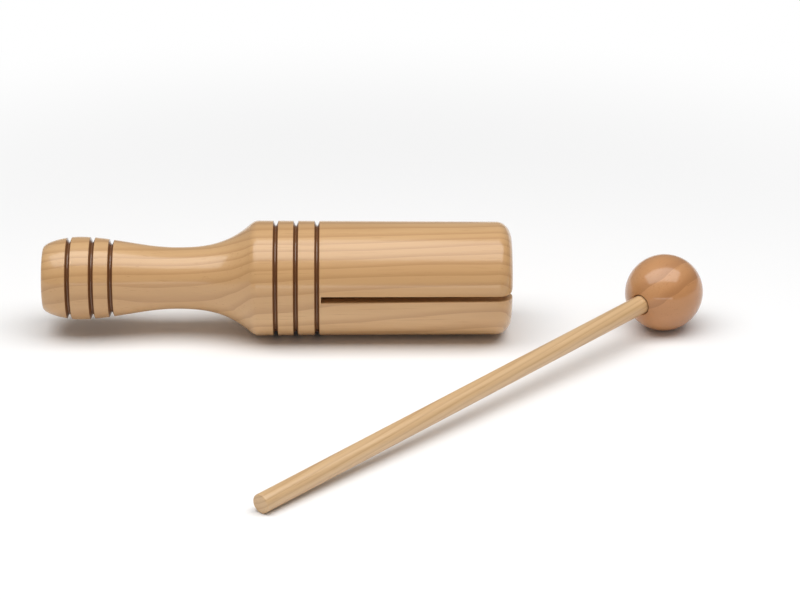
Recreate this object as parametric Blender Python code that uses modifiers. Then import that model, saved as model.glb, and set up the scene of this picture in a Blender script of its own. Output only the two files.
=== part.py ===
"""A tone block and its mallet, lying as they are used and stored: side by side on a flat surface.

The block is one turned piece of hardwood. Its handle runs into a barrel that is bored from the mouth and
slit along one side, so that the wall rings when it is struck. The mallet is a dowel glued into a turned ball.

Metres, +Z up. The set lies on the plane Z = 0 with its origin in the middle of its footprint. The block's
axis runs along X with the mouth towards +X, and the slit faces -Y.
"""

import math

import bmesh
import bpy
from mathutils import Vector

# Block outline. Distances run along its axis from the butt.
BLOCK_LENGTH = 0.2000
BUTT_FACE_RADIUS = 0.0130
BUTT_FULLNESS = 1.7
CROWN_AT = 0.0155
CROWN_RADIUS = 0.0177
WAIST_AT = 0.0570
WAIST_RADIUS = 0.0132
BARREL_AT = 0.0922
BARREL_RADIUS = 0.0246
BARREL_TAPER = 0.0005
SHOULDER_LENGTH = 0.0037
SHOULDER_DROP = 0.0016
SHOULDER_SLOPE = 0.87

# Burned grooves, three round the handle and three round the barrel.
HANDLE_GROOVES = (0.0113, 0.0213, 0.0294)
BARREL_GROOVES = (0.0995, 0.1081, 0.1171)
GROOVE_WIDTH = 0.0021
GROOVE_DEPTH = 0.0020
GROOVE_FLOOR = 0.0004
GROOVE_LIP = 0.0002

# Resonator bore and the rim round its mouth.
BORE_RADIUS = 0.0150
BORE_PAST_SLIT = 0.0040
BORE_CORNER = 0.0006
BORE_EASE = 0.0003
CENTRE_MARK_RADIUS = 0.0015
CENTRE_MARK_DEPTH = 0.0012
RIM_LAND = 0.0012
RIM_LENGTH = 0.0065

# Slit through the front wall, with its lips sanded round where they meet the mouth.
SLIT_LAND = 0.0007
SLIT_ABOVE_AXIS = 0.0012
SLIT_KERF = 0.0030
SLIT_MOUTH_KERF = 0.0024
UPPER_LIP_DEPTH = 0.0015
UPPER_LIP_RISE = 0.0026
LOWER_LIP_DEPTH = 0.0011
LOWER_LIP_RISE = 0.0011

# Mallet: a dowel in a ball that is a little longer than it is wide.
STICK_RADIUS = 0.0040
STICK_LENGTH = 0.2472
STICK_EDGE = 0.0006
HEAD_RADIUS = 0.0164
HEAD_HALF_LENGTH = 0.0172
HOLE_DEPTH = 0.0160
HOLE_EASE = 0.0004
FIT_GAP = 0.0003

# Where the mallet's ball lies from the middle of the butt, and which way its stick points.
HEAD_AHEAD = 0.2661
HEAD_ASIDE = 0.0038
MALLET_HEADING = math.radians(47.0)

# Facets of the round surfaces.
BLOCK_SIDES = 48
HEAD_SIDES = 40
STICK_SIDES = 32
CUT_MARGIN = 0.0020

PALE_HARDWOOD = (0.58, 0.33, 0.14)
DOWEL_WOOD = (0.60, 0.36, 0.16)
HEAD_WOOD = (0.50, 0.25, 0.10)


def rounded(share, fullness=2.0):
    """Height, 0 to 1, of a rounded-over corner at this share of its length."""
    return max(0.0, 1 - (1 - share) ** fullness) ** (1 / fullness)


def swept(at, start, end, start_slope=0.0, end_slope=0.0):
    """Radius on the smooth curve between two (distance, radius) points with these slopes."""
    length = end[0] - start[0]
    share = (at - start[0]) / length
    square, cube = share**2, share**3
    return (
        start[1] * (2 * cube - 3 * square + 1)
        + end[1] * (3 * square - 2 * cube)
        + start_slope * length * (cube - 2 * square + share)
        + end_slope * length * (cube - square)
    )


SHOULDER_AT = BARREL_AT - SHOULDER_LENGTH
SHOULDER_RADIUS = BARREL_RADIUS - SHOULDER_DROP
RIM_AT = BLOCK_LENGTH - RIM_LENGTH
LAND_RADIUS = BORE_RADIUS + BORE_EASE + RIM_LAND


def barrel_radius(at):
    """Radius of the barrel's nearly straight side, which tapers a little towards the mouth."""
    return BARREL_RADIUS - BARREL_TAPER * (at - BARREL_AT) / (BLOCK_LENGTH - BARREL_AT)


def turned_radius(at):
    """Radius of the block at this distance from its butt, before the grooves are burned in."""
    crown = (CROWN_AT, CROWN_RADIUS)
    waist = (WAIST_AT, WAIST_RADIUS)
    shoulder = (SHOULDER_AT, SHOULDER_RADIUS)
    if at < CROWN_AT:
        return BUTT_FACE_RADIUS + (CROWN_RADIUS - BUTT_FACE_RADIUS) * rounded(at / CROWN_AT, BUTT_FULLNESS)
    if at < WAIST_AT:
        return swept(at, crown, waist)
    if at < SHOULDER_AT:
        return swept(at, waist, shoulder, end_slope=SHOULDER_SLOPE)
    if at < BARREL_AT:
        return swept(at, shoulder, (BARREL_AT, BARREL_RADIUS), start_slope=SHOULDER_SLOPE)
    if at < RIM_AT:
        return barrel_radius(at)
    share = (BLOCK_LENGTH - at) / RIM_LENGTH
    return LAND_RADIUS + (barrel_radius(RIM_AT) - LAND_RADIUS) * rounded(share)


def groove_outline(centre):
    """(distance, radius) points across one V groove, from the butt's side to the mouth's."""
    half_width = GROOVE_WIDTH / 2
    half_floor = GROOVE_FLOOR / 2
    wall_at_lip = GROOVE_DEPTH * GROOVE_LIP / (half_width - half_floor)
    half = [
        (half_width + GROOVE_LIP, 0.0),
        (half_width - GROOVE_LIP, wall_at_lip),
        (half_floor, GROOVE_DEPTH),
    ]
    points = [(centre - offset, depth) for offset, depth in half]
    points += [(centre + offset, depth) for offset, depth in reversed(half)]
    return [(at, turned_radius(at) - depth) for at, depth in points]


def outer_outline():
    """(distance, radius) points of the block's outer side, from the butt to the mouth."""
    quarter = [math.pi / 2 * step / 8 for step in range(9)]
    marks = [CROWN_AT * (1 - math.cos(turn) ** (2 / BUTT_FULLNESS)) for turn in quarter]
    marks += [CROWN_AT + (WAIST_AT - CROWN_AT) * step / 7 for step in range(1, 8)]
    marks += [WAIST_AT + (SHOULDER_AT - WAIST_AT) * step / 8 for step in range(1, 9)]
    marks += [SHOULDER_AT + SHOULDER_LENGTH * step / 4 for step in range(1, 5)]
    marks += [RIM_AT + RIM_LENGTH * math.sin(turn) for turn in quarter]
    grooves = HANDLE_GROOVES + BARREL_GROOVES
    clearance = GROOVE_WIDTH / 2 + 2 * GROOVE_LIP
    points = [
        (at, turned_radius(at)) for at in marks if all(abs(at - centre) > clearance for centre in grooves)
    ]
    for centre in grooves:
        points += groove_outline(centre)
    return sorted(points)


SLIT_START = BARREL_GROOVES[-1] + GROOVE_WIDTH / 2 + SLIT_LAND
BORE_BOTTOM = SLIT_START - BORE_PAST_SLIT


def bore_outline():
    """(distance, radius) points of the bore, from the centre of its bottom out to the rim."""
    return [
        (BORE_BOTTOM - CENTRE_MARK_DEPTH, 0.0),
        (BORE_BOTTOM, CENTRE_MARK_RADIUS),
        (BORE_BOTTOM, BORE_RADIUS - BORE_CORNER),
        (BORE_BOTTOM + BORE_CORNER, BORE_RADIUS),
        (BLOCK_LENGTH - BORE_EASE, BORE_RADIUS),
        (BLOCK_LENGTH, BORE_RADIUS + BORE_EASE),
    ]


def slit_outline():
    """(distance, height over the axis) points round the saw cut, as seen from its open side."""
    upper = SLIT_ABOVE_AXIS
    lower_start = upper - SLIT_KERF
    lower_mouth = upper - SLIT_MOUTH_KERF
    beyond = BLOCK_LENGTH + CUT_MARGIN
    lip_turns = [math.pi / 2 * step / 4 for step in range(5)]
    upper_lip = [
        (
            BLOCK_LENGTH - UPPER_LIP_DEPTH * (1 - math.sin(turn)),
            upper + UPPER_LIP_RISE * (1 - math.cos(turn)),
        )
        for turn in lip_turns
    ]
    lower_lip = [
        (
            BLOCK_LENGTH - LOWER_LIP_DEPTH * (1 - math.sin(turn)),
            lower_mouth - LOWER_LIP_RISE * (1 - math.cos(turn)),
        )
        for turn in lip_turns
    ]
    return [
        (SLIT_START, lower_start),
        (SLIT_START, upper),
        *upper_lip,
        (beyond, upper + UPPER_LIP_RISE),
        (beyond, lower_mouth - LOWER_LIP_RISE),
        *reversed(lower_lip),
    ]


def head_outline():
    """(distance along the stick, radius) points of the ball and its blind hole, from its far end."""
    hole_radius = STICK_RADIUS + FIT_GAP
    mouth_radius = hole_radius + HOLE_EASE
    mouth_turn = math.pi - math.asin(mouth_radius / HEAD_RADIUS)
    turns = [mouth_turn * step / 20 for step in range(21)]
    ball = [(HEAD_HALF_LENGTH * math.cos(turn), HEAD_RADIUS * math.sin(turn)) for turn in turns]
    mouth = ball[-1][0]
    bottom = HOLE_DEPTH - HEAD_HALF_LENGTH
    return [*ball, (mouth + HOLE_EASE, hole_radius), (bottom, hole_radius), (bottom, 0.0)]


def new_collection(name):
    collection = bpy.data.collections.new(name)
    bpy.context.scene.collection.children.link(collection)
    return collection


def wood(name, colour, roughness):
    material = bpy.data.materials.new(name)
    material.use_nodes = True
    surface = material.node_tree.nodes["Principled BSDF"]
    surface.inputs["Base Color"].default_value = (*colour, 1.0)
    surface.inputs["Roughness"].default_value = roughness
    surface.inputs["Metallic"].default_value = 0.0
    material.diffuse_color = (*colour, 1.0)
    return material


def turned(name, outline, sides, collection):
    """A turned piece: its (distance, radius) outline swept round its own Z axis."""
    mesh = bpy.data.meshes.new(name)
    points = [(radius, 0.0, at) for at, radius in outline]
    mesh.from_pydata(points, [(i, i + 1) for i in range(len(points) - 1)], [])
    piece = bpy.data.objects.new(name, mesh)
    collection.objects.link(piece)
    lathe = piece.modifiers.new("lathe", "SCREW")
    lathe.axis = "Z"
    lathe.angle = 2 * math.pi
    lathe.steps = sides
    lathe.render_steps = sides
    lathe.use_merge_vertices = True
    lathe.merge_threshold = 0.00001
    return piece


def prism(name, outline, near, far, collection):
    """A cutter: a flat (X, Z) outline drawn through from Y = near to Y = far."""
    mesh = bpy.data.meshes.new(name)
    form = bmesh.new()
    face = form.faces.new([form.verts.new((x, near, z)) for x, z in outline])
    drawn = bmesh.ops.extrude_face_region(form, geom=[face])
    moved = [item for item in drawn["geom"] if isinstance(item, bmesh.types.BMVert)]
    bmesh.ops.translate(form, verts=moved, vec=(0.0, far - near, 0.0))
    bmesh.ops.recalc_face_normals(form, faces=form.faces)
    form.to_mesh(mesh)
    form.free()
    cutter = bpy.data.objects.new(name, mesh)
    cutter.hide_render = True
    cutter.display_type = "WIRE"
    collection.objects.link(cutter)
    return cutter


def finish(piece, material):
    """Keeps the piece's worked shape as its mesh, smooth but for its real edges, in its own wood."""
    bpy.context.view_layer.update()
    worked = piece.evaluated_get(bpy.context.evaluated_depsgraph_get())
    mesh = bpy.data.meshes.new_from_object(worked)
    piece.modifiers.clear()
    piece.data = mesh
    mesh.name = piece.name
    mesh.shade_smooth()
    mesh.set_sharp_from_angle(angle=math.radians(35))
    mesh.materials.clear()
    mesh.materials.append(material)


def mallet_tilt():
    """(tilt, height of the ball's centre) at which ball and stick's end both touch the surface."""
    reach = STICK_LENGTH + FIT_GAP - HOLE_DEPTH + HEAD_HALF_LENGTH - STICK_EDGE
    tilt = 0.0
    height = HEAD_RADIUS
    for _ in range(6):
        height = math.hypot(HEAD_HALF_LENGTH * math.sin(tilt), HEAD_RADIUS * math.cos(tilt))
        stick_height = STICK_EDGE + (STICK_RADIUS - STICK_EDGE) * math.cos(tilt)
        tilt = math.asin((height - stick_height) / reach)
    return tilt, height


def footprint_middle(pointing):
    """Middle of the set's footprint, measured from the middle of the butt; pointing runs along the stick."""
    head_half_width = math.hypot(HEAD_HALF_LENGTH * pointing.x, HEAD_RADIUS * math.sqrt(1 - pointing.x**2))
    reach = STICK_LENGTH + FIT_GAP - HOLE_DEPTH + HEAD_HALF_LENGTH - STICK_EDGE
    end_half_width = STICK_EDGE + (STICK_RADIUS - STICK_EDGE) * math.sqrt(1 - pointing.y**2)
    right = max(BLOCK_LENGTH, HEAD_AHEAD + head_half_width)
    front = min(-BARREL_RADIUS, HEAD_ASIDE - reach * pointing.y - end_half_width)
    return Vector((right / 2, (BARREL_RADIUS + front) / 2, 0.0))


for old in list(bpy.data.objects):
    bpy.data.objects.remove(old, do_unlink=True)

pieces = new_collection("tone_block")
cutters = new_collection("cutters")

tilt, head_height = mallet_tilt()
pointing = Vector(
    (
        math.cos(MALLET_HEADING) * math.cos(tilt),
        math.sin(MALLET_HEADING) * math.cos(tilt),
        math.sin(tilt),
    )
)
butt_middle = Vector((0.0, 0.0, BARREL_RADIUS)) - footprint_middle(pointing)

# Block: turned and bored on its own axis, laid along X, then slit from the front.
body = turned("tone_block_body", bore_outline() + outer_outline()[::-1] + [(0.0, 0.0)], BLOCK_SIDES, pieces)
body.location = butt_middle
body.rotation_euler = (0.0, math.pi / 2, 0.0)
slit_cutter = prism("slit_cutter", slit_outline(), -BARREL_RADIUS - CUT_MARGIN, -BORE_RADIUS / 2, cutters)
slit_cutter.location = butt_middle
slit = body.modifiers.new("slit", "BOOLEAN")
slit.operation = "DIFFERENCE"
slit.object = slit_cutter
finish(body, wood("block_wood", PALE_HARDWOOD, 0.35))

# Mallet: the ball sits at the empty, and the stick runs back from it along the empty's Z axis.
mallet = bpy.data.objects.new("mallet", None)
pieces.objects.link(mallet)
mallet.location = (butt_middle.x + HEAD_AHEAD, butt_middle.y + HEAD_ASIDE, head_height)
mallet.rotation_euler = (0.0, math.pi / 2 - tilt, MALLET_HEADING)

head = turned("mallet_head", head_outline(), HEAD_SIDES, pieces)
head.parent = mallet
finish(head, wood("head_wood", HEAD_WOOD, 0.3))

stick_top = HOLE_DEPTH - HEAD_HALF_LENGTH - FIT_GAP
bpy.ops.mesh.primitive_cylinder_add(vertices=STICK_SIDES, radius=STICK_RADIUS, depth=STICK_LENGTH)
stick = bpy.context.active_object
stick.name = "mallet_stick"
for collection in list(stick.users_collection):
    collection.objects.unlink(stick)
pieces.objects.link(stick)
stick.parent = mallet
stick.location = (0.0, 0.0, stick_top - STICK_LENGTH / 2)
edge = stick.modifiers.new("rounded ends", "BEVEL")
edge.width = STICK_EDGE
edge.segments = 3
edge.limit_method = "ANGLE"
finish(stick, wood("dowel_wood", DOWEL_WOOD, 0.45))
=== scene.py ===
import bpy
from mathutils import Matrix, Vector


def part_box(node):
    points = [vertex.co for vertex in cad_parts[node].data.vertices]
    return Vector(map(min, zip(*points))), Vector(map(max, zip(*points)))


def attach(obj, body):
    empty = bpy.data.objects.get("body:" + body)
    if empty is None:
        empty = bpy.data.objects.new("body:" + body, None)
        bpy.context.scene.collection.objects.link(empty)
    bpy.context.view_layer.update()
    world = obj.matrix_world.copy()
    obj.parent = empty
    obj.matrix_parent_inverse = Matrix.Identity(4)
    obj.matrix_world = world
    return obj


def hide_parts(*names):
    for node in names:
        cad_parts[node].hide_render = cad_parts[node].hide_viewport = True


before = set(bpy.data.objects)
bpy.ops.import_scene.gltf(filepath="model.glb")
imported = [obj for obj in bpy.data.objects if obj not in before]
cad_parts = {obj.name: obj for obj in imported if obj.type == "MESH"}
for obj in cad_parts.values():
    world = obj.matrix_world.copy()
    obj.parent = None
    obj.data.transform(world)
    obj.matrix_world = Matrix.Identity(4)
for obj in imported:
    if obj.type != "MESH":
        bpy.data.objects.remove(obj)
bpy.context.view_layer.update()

import math

import bmesh
import bpy
from mathutils import Euler, Matrix, Vector


# Tone block: one turned billet of pale hardwood. Its left part is the grip, and its right part is the
# barrel, bored from the mouth and sawn open along its front. Six V grooves are turned into it and
# burned brown while it still spins, and the finished block is dipped in clear lacquer.
block_low, block_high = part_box("tone_block_body")
butt_centre = Vector((block_low.x, (block_low.y + block_high.y) / 2, (block_low.z + block_high.z) / 2))
BLOCK_LENGTH = block_high.x - block_low.x
BARREL_RADIUS = (block_high.z - block_low.z) / 2
NO_TURN = (0.0, 0.0, 0.0)

# The turned outline, as distances from the butt and radii.
BUTT_FACE_RADIUS = 0.0130
BUTT_FULLNESS = 1.7
CROWN = (0.0155, 0.0177)
WAIST = (0.0570, 0.0132)
BARREL_AT = 0.0922
BARREL_TAPER = 0.0005
SHOULDER_LENGTH = 0.0037
SHOULDER_DROP = 0.0016
SHOULDER_SLOPE = 0.87
SHOULDER = (BARREL_AT - SHOULDER_LENGTH, BARREL_RADIUS - SHOULDER_DROP)
BARREL_START = (BARREL_AT, BARREL_RADIUS)
RIM_LENGTH = 0.0065
RIM_AT = BLOCK_LENGTH - RIM_LENGTH
RIM_LAND = 0.0012

HANDLE_GROOVES = (0.0113, 0.0213, 0.0294)
BARREL_GROOVES = (0.0995, 0.1081, 0.1171)
GROOVES = HANDLE_GROOVES + BARREL_GROOVES
GROOVE_HALF_WIDTH = 0.00105
GROOVE_HALF_FLOOR = 0.0002
GROOVE_DEPTH = 0.0020
GROOVE_LIP = 0.0001

# The saw cut starts beside the last groove, and the bore ends a little past the saw cut.
SLIT_LAND = 0.0007
SLIT_START = BARREL_GROOVES[-1] + GROOVE_HALF_WIDTH + SLIT_LAND
SLIT_TOP = 0.0012
SLIT_KERF = 0.0030
SLIT_MOUTH_KERF = 0.0024
UPPER_LIP_DEPTH = 0.0015
UPPER_LIP_RISE = 0.0026
LOWER_LIP_DEPTH = 0.0011
LOWER_LIP_DROP = 0.0011
SAW_REACH = 0.030
SAW_PAST_MOUTH = 0.002
BORE_RADIUS = 0.0150
BORE_EASE = 0.0003
BORE_CORNER = 0.0006
BORE_PAST_SLIT = 0.0040
BORE_BOTTOM = SLIT_START - BORE_PAST_SLIT
LAND_RADIUS = BORE_RADIUS + BORE_EASE + RIM_LAND
CENTRE_MARK_RADIUS = 0.0015
CENTRE_MARK_DEPTH = 0.0012

BLOCK_SIDES = 144
RING_STEP = 0.0007
GROOVE_MARGIN = 0.0013
BUTT_RINGS = (0.0, 0.00004, 0.00012, 0.0003)
RIM_RINGS = 12
LIP_STEPS = 8

BLOCK_PITH = (0.030, 0.055)
BLOCK_RING = 0.0042
BLOCK_SHADES = {
    "pale": (0.68, 0.43, 0.21, 1),
    "warm": (0.56, 0.32, 0.135, 1),
    "dark": (0.36, 0.17, 0.055, 1),
    "char": (0.17, 0.058, 0.013, 1),
}
BLOCK_GLOSS = 0.16


def rounded(share, fullness=2.0):
    """Height, 0 to 1, of a rounded-over corner at this share of its length."""
    return max(0.0, 1 - (1 - share) ** fullness) ** (1 / fullness)


def swept(at, low, high, low_slope=0.0, high_slope=0.0):
    """Radius on the smooth curve between two (distance, radius) points with these slopes."""
    span = high[0] - low[0]
    share = (at - low[0]) / span
    square = share**2
    cube = share**3
    return (
        low[1] * (2 * cube - 3 * square + 1)
        + high[1] * (3 * square - 2 * cube)
        + low_slope * span * (cube - 2 * square + share)
        + high_slope * span * (cube - square)
    )


def groove_distance(at):
    """Distance from here to the middle of the nearest groove."""
    return min(abs(at - groove) for groove in GROOVES)


def barrel_side(at):
    """Radius of the barrel's side, which tapers a little towards the mouth."""
    return BARREL_RADIUS - BARREL_TAPER * (at - BARREL_AT) / (BLOCK_LENGTH - BARREL_AT)


def block_side(at):
    """Radius of the block at this distance from its butt, grooves included."""
    if at < CROWN[0]:
        rise = CROWN[1] - BUTT_FACE_RADIUS
        radius = BUTT_FACE_RADIUS + rise * rounded(at / CROWN[0], BUTT_FULLNESS)
    elif at < WAIST[0]:
        radius = swept(at, CROWN, WAIST)
    elif at < SHOULDER[0]:
        radius = swept(at, WAIST, SHOULDER, high_slope=SHOULDER_SLOPE)
    elif at < BARREL_AT:
        radius = swept(at, SHOULDER, BARREL_START, low_slope=SHOULDER_SLOPE)
    elif at < RIM_AT:
        radius = barrel_side(at)
    else:
        rise = barrel_side(RIM_AT) - LAND_RADIUS
        radius = LAND_RADIUS + rise * rounded((BLOCK_LENGTH - at) / RIM_LENGTH)
    wall = (GROOVE_HALF_WIDTH - groove_distance(at)) / (GROOVE_HALF_WIDTH - GROOVE_HALF_FLOOR)
    return radius - GROOVE_DEPTH * max(0.0, min(1.0, wall))


def quarter_turns(steps):
    """Angles from 0 to a quarter turn."""
    return [math.pi / 2 * step / steps for step in range(steps + 1)]


def block_outline():
    """(distance, radius) points from the butt's centre, along the outside and back down the bore."""
    places = {RING_STEP * step for step in range(1, int(BLOCK_LENGTH / RING_STEP) + 1)}
    places = {at for at in places if groove_distance(at) > GROOVE_MARGIN}
    offsets = (0.0, GROOVE_HALF_FLOOR, GROOVE_HALF_WIDTH, GROOVE_HALF_WIDTH + GROOVE_LIP)
    for groove in GROOVES:
        places |= {groove + offset for offset in offsets}
        places |= {groove - offset for offset in offsets}
    places |= {BLOCK_LENGTH - RIM_LENGTH * (1 - math.sin(turn)) for turn in quarter_turns(RIM_RINGS)}
    places |= {*BUTT_RINGS, BARREL_AT}
    outside = [(at, block_side(at)) for at in sorted(places)]
    bore = [
        (BLOCK_LENGTH, BORE_RADIUS + BORE_EASE),
        (BLOCK_LENGTH - BORE_EASE, BORE_RADIUS),
        (BORE_BOTTOM + BORE_CORNER, BORE_RADIUS),
        (BORE_BOTTOM, BORE_RADIUS - BORE_CORNER),
        (BORE_BOTTOM, CENTRE_MARK_RADIUS),
        (BORE_BOTTOM - CENTRE_MARK_DEPTH, 0.0),
    ]
    return [(0.0, 0.0), *outside, *bore]


def closed_piece(name, spots, faces):
    """A new object of these points and faces, with every face turned outwards."""
    mesh = bpy.data.meshes.new(name)
    mesh.from_pydata(spots, [], faces)
    shell = bmesh.new()
    shell.from_mesh(mesh)
    bmesh.ops.recalc_face_normals(shell, faces=shell.faces)
    shell.to_mesh(mesh)
    shell.free()
    piece = bpy.data.objects.new(name, mesh)
    bpy.context.scene.collection.objects.link(piece)
    return piece


def turned_piece(name, outline, sides, origin, turn):
    """A piece turned about local X from (distance, radius) points, set in place in its mesh."""
    spots = []
    rings = []
    for at, radius in outline:
        count = sides if radius > 0 else 1
        rings.append(range(len(spots), len(spots) + count))
        for step in range(count):
            around = math.tau * step / sides
            spots.append((at, radius * math.cos(around), radius * math.sin(around)))
    faces = []
    for near, far in zip(rings, rings[1:]):
        for step in range(sides):
            after = (step + 1) % sides
            corners = (
                near[step % len(near)],
                near[after % len(near)],
                far[after % len(far)],
                far[step % len(far)],
            )
            faces.append(tuple(dict.fromkeys(corners)))
    piece = closed_piece(name, spots, faces)
    piece.data.transform(Matrix.Translation(origin) @ Euler(turn).to_matrix().to_4x4())
    return piece


def lip(depth, start, rise):
    """(distance, height) points of the sanded lip where one side of the saw cut meets the mouth."""
    return [
        (BLOCK_LENGTH - depth * (1 - math.sin(turn)), start + rise * (1 - math.cos(turn)))
        for turn in quarter_turns(LIP_STEPS)
    ]


def saw_cut():
    """The wood that the saw takes out of the barrel's front wall, as a closed shape."""
    beyond = BLOCK_LENGTH + SAW_PAST_MOUTH
    upper_lip = lip(UPPER_LIP_DEPTH, SLIT_TOP, UPPER_LIP_RISE)
    lower_lip = lip(LOWER_LIP_DEPTH, SLIT_TOP - SLIT_MOUTH_KERF, -LOWER_LIP_DROP)
    outline = [
        (SLIT_START, SLIT_TOP - SLIT_KERF),
        (SLIT_START, SLIT_TOP),
        *upper_lip,
        (beyond, upper_lip[-1][1]),
        (beyond, lower_lip[-1][1]),
        *reversed(lower_lip),
    ]
    count = len(outline)
    spots = [
        butt_centre + Vector((at, -reach, height)) for reach in (SAW_REACH, 0.0) for at, height in outline
    ]
    faces = [(step, (step + 1) % count, (step + 1) % count + count, step + count) for step in range(count)]
    faces += [tuple(range(count)), tuple(reversed(range(count, 2 * count)))]
    return closed_piece("saw_cut", spots, faces)


class Wire:
    """One output of a node tree, so that sums on it read as Python."""

    def __init__(self, tree, socket=None):
        self.tree = tree
        self.socket = socket

    def node(self, kind, settings, values, output=0):
        """A new node: its settings are made first, then each input takes its value or its link."""
        made = self.tree.nodes.new(kind)
        for name, value in settings.items():
            setattr(made, name, value)
        for name, value in values.items():
            if isinstance(value, Wire):
                self.tree.links.new(value.socket, made.inputs[name])
            else:
                made.inputs[name].default_value = value
        return Wire(self.tree, made.outputs[output])

    def beside(self, name):
        """Another output of the same node."""
        return Wire(self.tree, self.socket.node.outputs[name])

    def math(self, operation, first, second=0.0):
        return self.node("ShaderNodeMath", {"operation": operation}, {0: first, 1: second})

    def __add__(self, other):
        return self.math("ADD", self, other)

    def __radd__(self, other):
        return self.math("ADD", other, self)

    def __sub__(self, other):
        return self.math("SUBTRACT", self, other)

    def __rsub__(self, other):
        return self.math("SUBTRACT", other, self)

    def __mul__(self, other):
        return self.math("MULTIPLY", self, other)

    def __rmul__(self, other):
        return self.math("MULTIPLY", other, self)

    def __truediv__(self, other):
        return self.math("DIVIDE", self, other)

    def __rtruediv__(self, other):
        return self.math("DIVIDE", other, self)

    def __pow__(self, other):
        return self.math("POWER", self, other)

    def __rpow__(self, other):
        return self.math("POWER", other, self)

    def scaled(self, factors):
        """This vector with each of its parts multiplied."""
        return self.node("ShaderNodeVectorMath", {"operation": "MULTIPLY"}, {0: self, 1: factors})

    def noise(self, scale, detail, roughness):
        """Soft noise at this vector's place."""
        sizes = {"Vector": self, "Scale": scale, "Detail": detail, "Roughness": roughness}
        return self.node("ShaderNodeTexNoise", {}, sizes, "Fac")

    def step(self, low, high):
        """A smooth rise from 0 to 1 as this value goes from low to high."""
        ends = {"Value": self, "From Min": low, "From Max": high}
        return self.node("ShaderNodeMapRange", {"interpolation_type": "SMOOTHSTEP"}, ends)

    def mix(self, share, first, second):
        """Two colours mixed. On a colour Mix node they are inputs 6 and 7, and the result is output 2."""
        return self.node("ShaderNodeMix", {"data_type": "RGBA"}, {0: share, 6: first, 7: second}, 2)


ALONG_DRIFT = (0.16, 1.0, 1.0)
ALONG_FIBRE = (0.03, 1.0, 1.0)
DRIFT_NOISE = (55.0, 2.0, 0.45)
CLOUD_NOISE = (26.0, 2.0, 0.5)
FIBRE_NOISE = (1700.0, 3.0, 0.6)
RING_WANDER = 1.6
RING_LEAN = 0.035
LATEWOOD_START = 0.45
LATEWOOD_PEAK = 0.97
LATEWOOD_SHARE = 0.42
FIBRE_SHARE = 0.22
PORE_SHARE = 0.35
BURN_CORE = 0.80
BURN_EDGE = 1.25


def lacquered_wood(name, centre, turn, pith, ring, shades, gloss, grooves=()):
    """Wood whose growth rings stand round a pith beside the piece, under clear lacquer."""
    material = bpy.data.materials.new(name)
    material.use_nodes = True
    tree = material.node_tree
    shader = tree.nodes["Principled BSDF"]
    wire = Wire(tree)
    place = wire.node("ShaderNodeTexCoord", {}, {}, "Object")
    local = wire.node("ShaderNodeVectorMath", {"operation": "SUBTRACT"}, {0: place, 1: tuple(centre)})
    turning = {"rotation_type": "EULER_XYZ", "invert": True}
    local = wire.node("ShaderNodeVectorRotate", turning, {"Vector": local, "Rotation": turn})
    along = wire.node("ShaderNodeSeparateXYZ", {}, {"Vector": local}, "X")
    across = along.beside("Y")
    up = along.beside("Z")

    # Growth rings: their pale early wood darkens slowly to a sharp late edge.
    drawn = local.scaled(ALONG_DRIFT)
    drift = drawn.noise(*DRIFT_NOISE)
    radius = ((across - pith[0]) ** 2.0 + (up - pith[1]) ** 2.0) ** 0.5
    grown = (radius + (drift - 0.5) * ring * RING_WANDER + along * RING_LEAN) / ring
    growth = wire.math("FRACT", grown)
    late = growth.step(LATEWOOD_START, LATEWOOD_PEAK) * (1.0 - growth.step(LATEWOOD_PEAK, 1.0))

    # Fibres and pores run along the grain, over slow changes between the two pale shades.
    fibre = local.scaled(ALONG_FIBRE).noise(*FIBRE_NOISE)
    pores = fibre.step(0.60, 0.72)
    cloud = drawn.noise(*CLOUD_NOISE)
    colour = wire.mix(cloud.step(0.3, 0.7), shades["pale"], shades["warm"])
    colour = wire.mix(late * LATEWOOD_SHARE, colour, shades["dark"])
    colour = wire.mix(fibre.step(0.35, 0.65) * FIBRE_SHARE, colour, shades["warm"])
    colour = wire.mix(pores * PORE_SHARE, colour, shades["dark"])

    # Each groove is scorched over its own width.
    for groove in grooves:
        off = wire.math("ABSOLUTE", along - groove)
        scorch = 1.0 - off.step(GROOVE_HALF_WIDTH * BURN_CORE, GROOVE_HALF_WIDTH * BURN_EDGE)
        colour = wire.mix(scorch * (0.80 + drift * 0.2), colour, shades["char"])

    relief = {"Strength": 0.10, "Distance": 0.0001, "Height": fibre}
    grain = wire.node("ShaderNodeBump", {}, relief, "Normal")
    rough = fibre * 0.10 + 0.42
    tree.links.new(colour.socket, shader.inputs["Base Color"])
    tree.links.new(rough.socket, shader.inputs["Roughness"])
    tree.links.new(grain.socket, shader.inputs["Normal"])
    shader.inputs["Specular IOR Level"].default_value = 0.35
    shader.inputs["Coat Weight"].default_value = 0.85
    shader.inputs["Coat Roughness"].default_value = gloss
    return material


def finish_piece(piece, material, node, body):
    """Gives a piece its wood, and has it ride its body in the place of its CAD node."""
    piece.data.materials.clear()
    piece.data.materials.append(material)
    piece.data.shade_smooth()
    piece.data.set_sharp_from_angle(angle=math.radians(32))
    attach(piece, body)
    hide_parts(node)


block = turned_piece("tone_block", block_outline(), BLOCK_SIDES, butt_centre, NO_TURN)
saw = saw_cut()
slit = block.modifiers.new("slit", "BOOLEAN")
slit.operation = "DIFFERENCE"
slit.solver = "EXACT"
slit.object = saw
bpy.context.view_layer.update()
sawn = block.evaluated_get(bpy.context.evaluated_depsgraph_get())
sawn_mesh = bpy.data.meshes.new_from_object(sawn)
block.modifiers.clear()
block.data = sawn_mesh
bpy.data.objects.remove(saw)
block_wood = lacquered_wood(
    "block_hardwood", butt_centre, NO_TURN, BLOCK_PITH, BLOCK_RING, BLOCK_SHADES, BLOCK_GLOSS, GROOVES
)
finish_piece(block, block_wood, "tone_block_body", "block")


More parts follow.
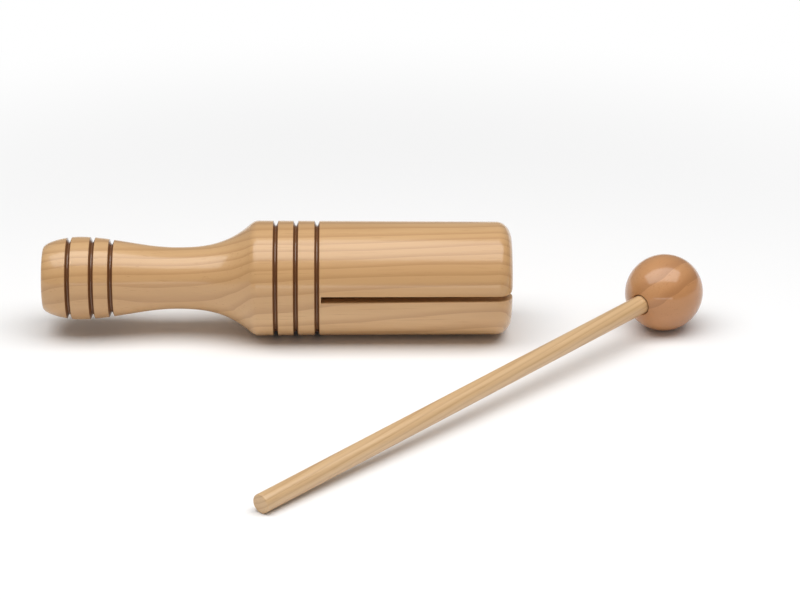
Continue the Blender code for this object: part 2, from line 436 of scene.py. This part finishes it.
# Mallet stick: a plain hardwood dowel, sanded, with its sawn ends eased, under thin lacquer. It is
# glued into the ball's blind hole and leans back on its own end.
ball_low, ball_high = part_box("mallet_head")
ball_centre = (ball_low + ball_high) / 2
MALLET_HEADING = math.radians(47)
MALLET_TILT = math.radians(2.8663)
mallet_turn = (0.0, -MALLET_TILT, MALLET_HEADING)
STICK_LENGTH = 0.2472
STICK_RADIUS = 0.0040
STICK_EDGE = 0.0006
STICK_END_TO_BALL = 0.2487
STICK_SIDES = 64
STICK_RINGS = 60
STICK_EDGE_RINGS = 6

STICK_PITH = (0.020, 0.035)
STICK_RING = 0.0021
STICK_SHADES = {
    "pale": (0.70, 0.47, 0.25, 1),
    "warm": (0.60, 0.37, 0.17, 1),
    "dark": (0.42, 0.22, 0.085, 1),
}
STICK_GLOSS = 0.28

inner_radius = STICK_RADIUS - STICK_EDGE
straight = STICK_LENGTH - 2 * STICK_EDGE
stick_outline = [
    (0.0, 0.0),
    *(
        (STICK_EDGE * (1 - math.cos(turn)), inner_radius + STICK_EDGE * math.sin(turn))
        for turn in quarter_turns(STICK_EDGE_RINGS)
    ),
    *(
        (STICK_EDGE + straight * step / STICK_RINGS, STICK_RADIUS)
        for step in range(1, STICK_RINGS + 1)
    ),
    (STICK_LENGTH - STICK_EDGE / 2, STICK_RADIUS - STICK_EDGE / 3),
    (STICK_LENGTH, inner_radius),
    (STICK_LENGTH, 0.0),
]
stick_outline = [(at - STICK_END_TO_BALL, radius) for at, radius in stick_outline]
stick = turned_piece("mallet_dowel", stick_outline, STICK_SIDES, ball_centre, mallet_turn)
stick_wood = lacquered_wood(
    "dowel_hardwood", ball_centre, mallet_turn, STICK_PITH, STICK_RING, STICK_SHADES, STICK_GLOSS
)
finish_piece(stick, stick_wood, "mallet_stick", "mallet")


# Mallet ball: redder hardwood turned a little longer than it is wide, drilled for the stick from
# below, and finished in a glossier lacquer than the stick.
HEAD_RADIUS = 0.0164
HEAD_HALF_LENGTH = 0.0172
FIT_GAP = 0.0003
HOLE_EASE = 0.0004
HOLE_DEPTH = 0.0160
HEAD_SIDES = 112
HEAD_RINGS = 56

HEAD_PITH = (0.014, 0.022)
HEAD_RING = 0.0105
HEAD_SHADES = {
    "pale": (0.58, 0.30, 0.13, 1),
    "warm": (0.50, 0.22, 0.075, 1),
    "dark": (0.27, 0.10, 0.028, 1),
}
HEAD_GLOSS = 0.12

hole_radius = STICK_RADIUS + FIT_GAP
hole_bottom = HOLE_DEPTH - HEAD_HALF_LENGTH
hole_turn = math.pi - math.asin((hole_radius + HOLE_EASE) / HEAD_RADIUS)
head_turns = [hole_turn * step / HEAD_RINGS for step in range(HEAD_RINGS + 1)]
head_outline = [(HEAD_HALF_LENGTH * math.cos(turn), HEAD_RADIUS * math.sin(turn)) for turn in head_turns]
head_outline += [
    (head_outline[-1][0] + HOLE_EASE, hole_radius),
    (hole_bottom, hole_radius),
    (hole_bottom, 0.0),
]
head = turned_piece("mallet_ball", head_outline, HEAD_SIDES, ball_centre, mallet_turn)
head_wood = lacquered_wood(
    "ball_hardwood", ball_centre, mallet_turn, HEAD_PITH, HEAD_RING, HEAD_SHADES, HEAD_GLOSS
)
finish_piece(head, head_wood, "mallet_head", "mallet")


# Studio: a pale table that fades to white away from the set, a wide softbox overhead, and a low
# strip in front that lights the near side. None of this belongs to the set.
FLOOR_HALF = 6.0
FLOOR_COLOUR = (0.93, 0.93, 0.93, 1)
FADE_START = 0.22
FADE_END = 0.50
WORLD_STRENGTH = 0.22
floor_corners = [
    (-FLOOR_HALF, -FLOOR_HALF, 0.0),
    (FLOOR_HALF, -FLOOR_HALF, 0.0),
    (FLOOR_HALF, FLOOR_HALF, 0.0),
    (-FLOOR_HALF, FLOOR_HALF, 0.0),
]
floor_mesh = bpy.data.meshes.new("studio_floor")
floor_mesh.from_pydata(floor_corners, [], [(0, 1, 2, 3)])
floor = bpy.data.objects.new("studio_floor", floor_mesh)
bpy.context.scene.collection.objects.link(floor)

paper = bpy.data.materials.new("studio_paper")
paper.use_nodes = True
paper_tree = paper.node_tree
matte_shader = paper_tree.nodes["Principled BSDF"]
matte_shader.inputs["Base Color"].default_value = FLOOR_COLOUR
matte_shader.inputs["Roughness"].default_value = 1.0
matte_shader.inputs["Specular IOR Level"].default_value = 0.0
paper_wire = Wire(paper_tree)
spot = paper_wire.node("ShaderNodeTexCoord", {}, {}, "Object")
spread = paper_wire.node("ShaderNodeVectorMath", {"operation": "LENGTH"}, {0: spot}, "Value")
matte = Wire(paper_tree, matte_shader.outputs["BSDF"])
white = paper_wire.node("ShaderNodeEmission", {}, {"Color": (1, 1, 1, 1), "Strength": 1.0})
fade = spread.step(FADE_START, FADE_END)
faded = paper_wire.node("ShaderNodeMixShader", {}, {0: fade, 1: matte, 2: white})
paper_tree.links.new(faded.socket, paper_tree.nodes["Material Output"].inputs["Surface"])
floor_mesh.materials.append(paper)


def softbox(name, place, aim, wide, deep, watts):
    """A rectangular area lamp at a place, pointed at another."""
    lamp = bpy.data.lights.new(name, "AREA")
    lamp.shape = "RECTANGLE"
    lamp.size = wide
    lamp.size_y = deep
    lamp.energy = watts
    box = bpy.data.objects.new(name, lamp)
    box.location = place
    box.rotation_euler = (Vector(aim) - Vector(place)).to_track_quat("-Z", "Y").to_euler()
    bpy.context.scene.collection.objects.link(box)
    return box


overhead = softbox(
    "studio_overhead", place=(0.0, -0.10, 0.92), aim=(0.0, -0.09, 0.0), wide=1.7, deep=0.78, watts=12.5
)
front = softbox(
    "studio_front", place=(0.0, -1.6, 0.16), aim=(0.0, 0.0, 0.03), wide=1.8, deep=0.10, watts=2.2
)

world = bpy.data.worlds.new("studio_white")
world.use_nodes = True
world.node_tree.nodes["Background"].inputs["Color"].default_value = (1, 1, 1, 1)
world.node_tree.nodes["Background"].inputs["Strength"].default_value = WORLD_STRENGTH
bpy.context.scene.world = world


# Camera: a long lens 1.4 m away and 22.5 degrees above the table. It stands a little to the left
# and is shifted back by as much, so that the set keeps its place in the frame.
ELEVATION = math.radians(22.5)
DISTANCE = 1.412
FOCAL_LENGTH = 148.5
SENSOR_WIDTH = 36.0
AIM_FROM_BUTT = Vector((0.1525, -0.0036, -0.0087))
STEP_LEFT = Vector((0.0235, 0.0, 0.0))
SHIFT_PIXELS = 55
FRAME_PIXELS = 800
lens = bpy.data.cameras.new("camera")
lens.lens = FOCAL_LENGTH
lens.sensor_width = SENSOR_WIDTH
lens.shift_x = SHIFT_PIXELS / FRAME_PIXELS
camera = bpy.data.objects.new("camera", lens)
sight = Vector((0.0, math.cos(ELEVATION), -math.sin(ELEVATION)))
camera.location = butt_centre + AIM_FROM_BUTT - sight * DISTANCE - STEP_LEFT
camera.rotation_euler = (math.pi / 2 - ELEVATION, 0.0, 0.0)
bpy.context.scene.collection.objects.link(camera)
bpy.context.scene.camera = camera
bpy.context.scene.view_settings.view_transform = "Standard"
